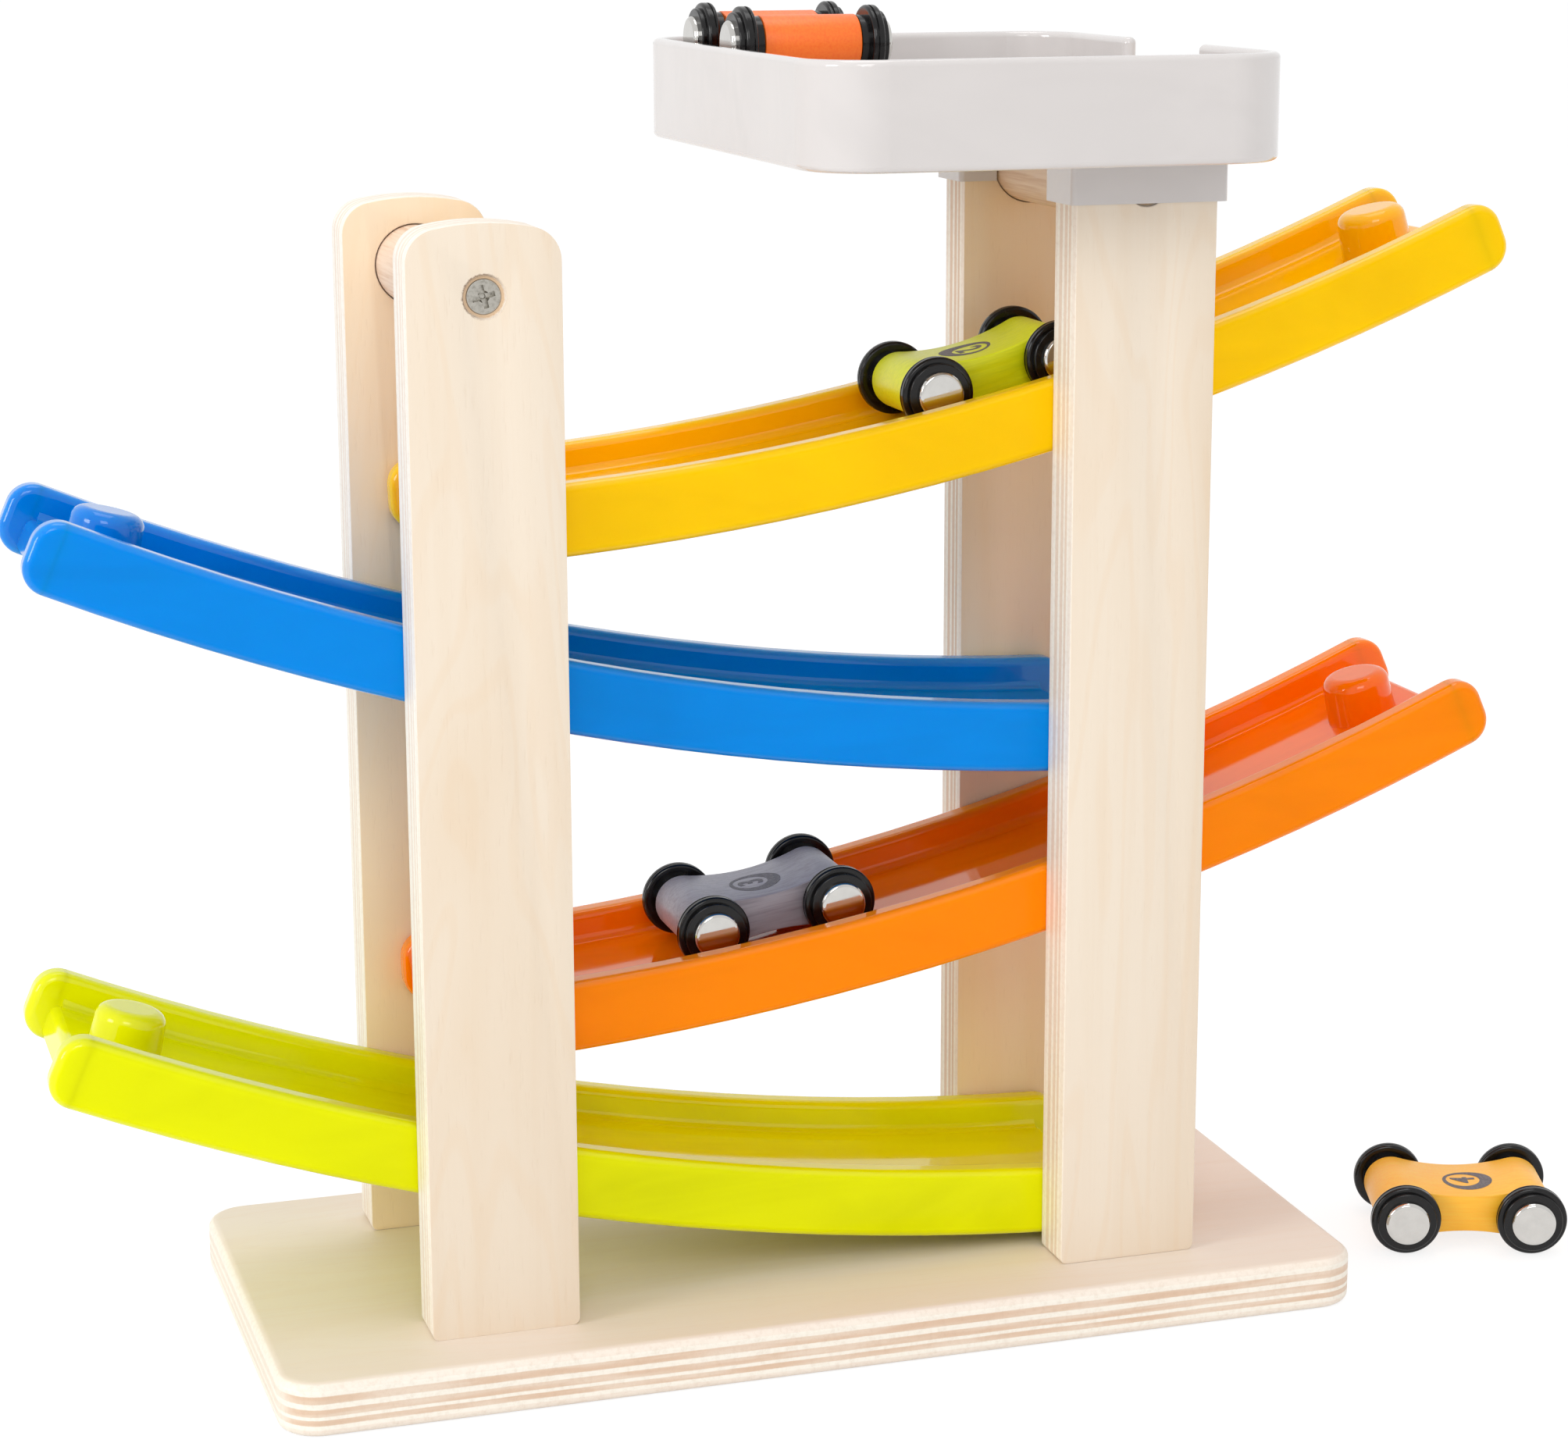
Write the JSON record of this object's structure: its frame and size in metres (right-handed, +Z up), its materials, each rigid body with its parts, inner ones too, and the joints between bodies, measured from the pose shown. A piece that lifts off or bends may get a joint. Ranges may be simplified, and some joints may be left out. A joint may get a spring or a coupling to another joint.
{
  "type": "click clack track toy",
  "caption": "Wooden tower toy whose curved plastic tracks hand small rolling cars down from side to side, below a railed parking deck with a gate.",
  "frame": {"origin": "middle of the base board's underside", "axes": "+X along the base board towards the posts that carry the deck, +Y to the back, +Z up"},
  "size_m": [0.3544, 0.134, 0.287],
  "materials": {
    "plywood": "clear satin lacquer, with light and dark plies on the edges",
    "dowel": "plain sanded",
    "screw": "satin zinc",
    "yellow_plastic": "glossy moulding",
    "blue_plastic": "glossy moulding",
    "orange_plastic": "glossy moulding",
    "green_plastic": "glossy moulding",
    "grey_plastic": "glossy moulding",
    "orange_paint": "satin paint over fine grained wood",
    "green_paint": "satin paint over fine grained wood",
    "grey_paint": "satin paint over fine grained wood",
    "amber_paint": "satin paint over fine grained wood",
    "wheel": "glossy black moulding",
    "wheel_cap": "polished",
    "axle": "plain drawn"
  },
  "bodies": {
    "tower": {"base_board": "plywood", "post_front_left": "plywood", "post_rear_left": "plywood", "post_front_right": "plywood", "post_rear_right": "plywood", "spacer_dowel_left": "dowel", "spacer_dowel_right": "dowel", "dowel_screws": "screw", "base_screws": "screw", "track_yellow": "yellow_plastic", "track_blue": "blue_plastic", "track_orange": "orange_plastic", "track_green": "green_plastic", "parking_deck": "grey_plastic"},
    "orange_car": {"orange_car_body": "orange_paint"},
    "orange_car_front_wheelset": {"orange_car_front_axle": "axle", "orange_car_front_wheels": "wheel", "orange_car_front_caps": "wheel_cap"},
    "orange_car_rear_wheelset": {"orange_car_rear_axle": "axle", "orange_car_rear_wheels": "wheel", "orange_car_rear_caps": "wheel_cap"},
    "green_car": {"green_car_body": "green_paint"},
    "green_car_front_wheelset": {"green_car_front_axle": "axle", "green_car_front_wheels": "wheel", "green_car_front_caps": "wheel_cap"},
    "green_car_rear_wheelset": {"green_car_rear_axle": "axle", "green_car_rear_wheels": "wheel", "green_car_rear_caps": "wheel_cap"},
    "grey_car": {"grey_car_body": "grey_paint"},
    "grey_car_front_wheelset": {"grey_car_front_axle": "axle", "grey_car_front_wheels": "wheel", "grey_car_front_caps": "wheel_cap"},
    "grey_car_rear_wheelset": {"grey_car_rear_axle": "axle", "grey_car_rear_wheels": "wheel", "grey_car_rear_caps": "wheel_cap"},
    "amber_car": {"amber_car_body": "amber_paint"},
    "amber_car_front_wheelset": {"amber_car_front_axle": "axle", "amber_car_front_wheels": "wheel", "amber_car_front_caps": "wheel_cap"},
    "amber_car_rear_wheelset": {"amber_car_rear_axle": "axle", "amber_car_rear_wheels": "wheel", "amber_car_rear_caps": "wheel_cap"}
  },
  "joints": [
    {"name": "orange_car_roll", "type": "slide", "parent": "tower", "child": "orange_car", "axis": [0, 1, 0], "range_m": [-0.075, 0.005]},
    {"name": "orange_car_front_wheel_spin", "type": "hinge", "parent": "orange_car", "child": "orange_car_front_wheelset", "pos_m": [0.0153, 0.04965, 0.27883], "axis": [1, 0, 0], "continuous": true},
    {"name": "orange_car_rear_wheel_spin", "type": "hinge", "parent": "orange_car", "child": "orange_car_rear_wheelset", "pos_m": [0.0153, 0.02035, 0.27883], "axis": [1, 0, 0], "continuous": true},
    {"name": "green_car_roll", "type": "hinge", "parent": "tower", "child": "green_car", "pos_m": [-0.09625, 0, 0.8114], "axis": [0, -1, 0], "range_deg": [-9.6, 6.3]},
    {"name": "green_car_front_wheel_spin", "type": "hinge", "parent": "green_car", "child": "green_car_front_wheelset", "pos_m": [0.06214, 0, 0.21211], "axis": [0, 1, 0], "continuous": true},
    {"name": "green_car_rear_wheel_spin", "type": "hinge", "parent": "green_car", "child": "green_car_rear_wheelset", "pos_m": [0.03364, 0, 0.20529], "axis": [0, 1, 0], "continuous": true},
    {"name": "grey_car_roll", "type": "hinge", "parent": "tower", "child": "grey_car", "pos_m": [-0.09625, 0, 0.7038], "axis": [0, -1, 0], "range_deg": [-4.8, 11.1]},
    {"name": "grey_car_front_wheel_spin", "type": "hinge", "parent": "grey_car", "child": "grey_car_front_wheelset", "pos_m": [0.01144, 0, 0.09335], "axis": [0, 1, 0], "continuous": true},
    {"name": "grey_car_rear_wheel_spin", "type": "hinge", "parent": "grey_car", "child": "grey_car_rear_wheelset", "pos_m": [-0.01753, 0, 0.08895], "axis": [0, 1, 0], "continuous": true},
    {"name": "amber_car_roll", "type": "slide", "parent": "tower", "child": "amber_car", "axis": [0.9494, -0.314, 0], "range_m": [-0.012, 0.06]},
    {"name": "amber_car_front_wheel_spin", "type": "hinge", "parent": "amber_car", "child": "amber_car_front_wheelset", "pos_m": [0.17861, -0.0245, 0.00833], "axis": [0.314, 0.9494, 0], "continuous": true},
    {"name": "amber_car_rear_wheel_spin", "type": "hinge", "parent": "amber_car", "child": "amber_car_rear_wheelset", "pos_m": [0.15079, -0.0153, 0.00833], "axis": [0.314, 0.9494, 0], "continuous": true}
  ]
}
